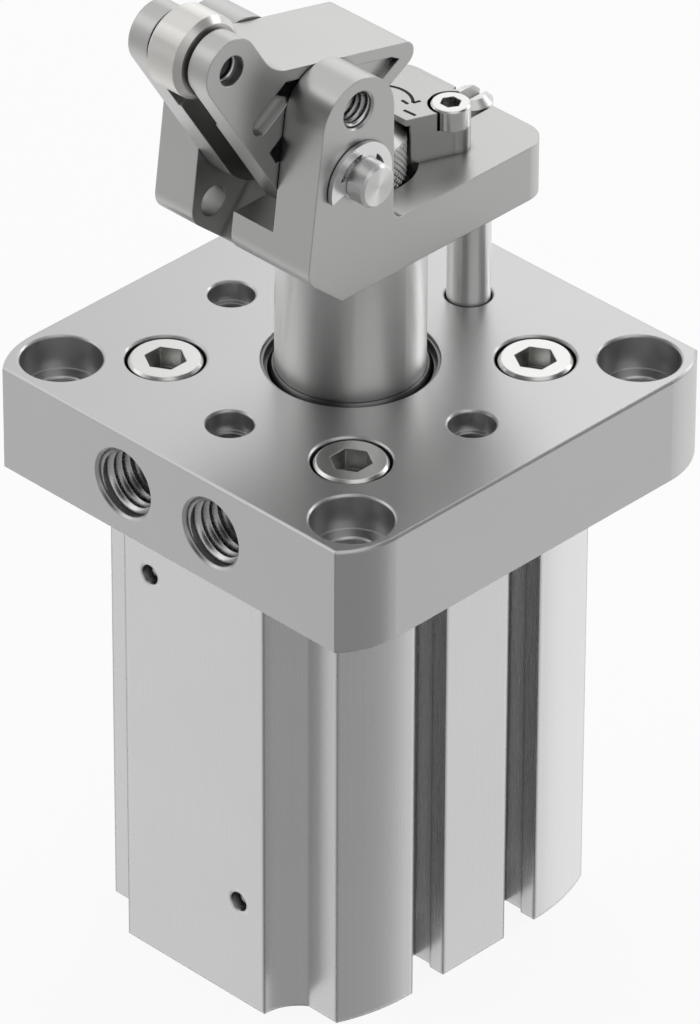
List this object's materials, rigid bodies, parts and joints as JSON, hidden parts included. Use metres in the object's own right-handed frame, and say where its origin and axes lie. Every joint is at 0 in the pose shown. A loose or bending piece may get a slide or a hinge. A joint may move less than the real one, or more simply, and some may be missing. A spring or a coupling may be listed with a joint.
{
  "type": "stopper cylinder",
  "caption": "Pneumatic stopper cylinder: square flange plate on a slotted barrel, extended rod with a forked head, guide rod, shock absorber and a raised roller lever.",
  "frame": {"origin": "centre of the barrel's lower end, on the rod's axis", "axes": "+Z along the rod, upwards out of the plate; -Y towards the side with the air ports; +X to the right of that side"},
  "size_m": [0.0676, 0.068, 0.1496],
  "materials": {
    "anodised_aluminium": "satin",
    "machined_aluminium": "satin",
    "ground_steel": "polished",
    "cast_steel": "satin",
    "screw_steel": "satin",
    "knurled_steel": "satin",
    "roller_steel": "polished",
    "spring_steel": "satin",
    "bronze": "satin",
    "seal_rubber": "matte",
    "buffer_rubber": "matte",
    "band_plastic": "matte",
    "magnet": "matte",
    "wiper_case": "satin"
  },
  "bodies": {
    "housing": {"barrel": "anodised_aluminium", "flange_plate": "machined_aluminium", "barrel_screws": "screw_steel", "guide_rod": "ground_steel", "rod_wiper": "wiper_case", "rod_seal": "seal_rubber", "rod_bush": "bronze", "plate_cord": "seal_rubber", "channel_plugs": "screw_steel", "base_cap": "machined_aluminium", "cap_cord": "seal_rubber", "base_ring": "spring_steel"},
    "rod": {"piston_rod": "ground_steel", "piston": "machined_aluminium", "piston_seals": "seal_rubber", "guide_band": "band_plastic", "magnet_ring": "magnet", "upper_buffer": "buffer_rubber", "lower_buffer": "buffer_rubber", "piston_nut": "screw_steel", "yoke": "cast_steel", "pivot_pin": "ground_steel", "pivot_clips": "spring_steel", "absorber_body": "ground_steel", "absorber_spring": "spring_steel", "ring_cover": "cast_steel", "cover_screws": "screw_steel"},
    "lever": {"lever": "cast_steel", "roller_pin": "ground_steel", "roller_bush": "bronze"},
    "roller": {"roller": "roller_steel"},
    "plunger": {"absorber_plunger": "ground_steel"},
    "ring": {"adjusting_ring": "knurled_steel"}
  },
  "joints": [
    {"name": "rod_slide", "type": "slide", "parent": "housing", "child": "rod", "axis": [0, 0, 1], "range_m": [-0.02, 0]},
    {"name": "lever_pivot", "type": "hinge", "parent": "rod", "child": "lever", "pos_m": [0, -0.01285, 0.1246], "axis": [-1, 0, 0], "range_deg": [0, 28], "stiffness_Nm_per_rad": 0.1, "springref_deg": -34.38},
    {"name": "roller_spin", "type": "hinge", "parent": "lever", "child": "roller", "pos_m": [0, -0.0285, 0.1439], "axis": [1, 0, 0], "continuous": true},
    {"name": "plunger_slide", "type": "slide", "parent": "rod", "child": "plunger", "axis": [0, 0, 1], "range_m": [-0.0066, 0], "deforming": ["absorber_spring"]},
    {"name": "ring_turn", "type": "hinge", "parent": "rod", "child": "ring", "pos_m": [0, 0, 0.1171], "axis": [0, 0, 1], "range_deg": [-150, 150]}
  ],
  "couplings": [
    {"joint": "plunger_slide", "follows": "lever_pivot", "m_per_rad": -0.01335}
  ]
}
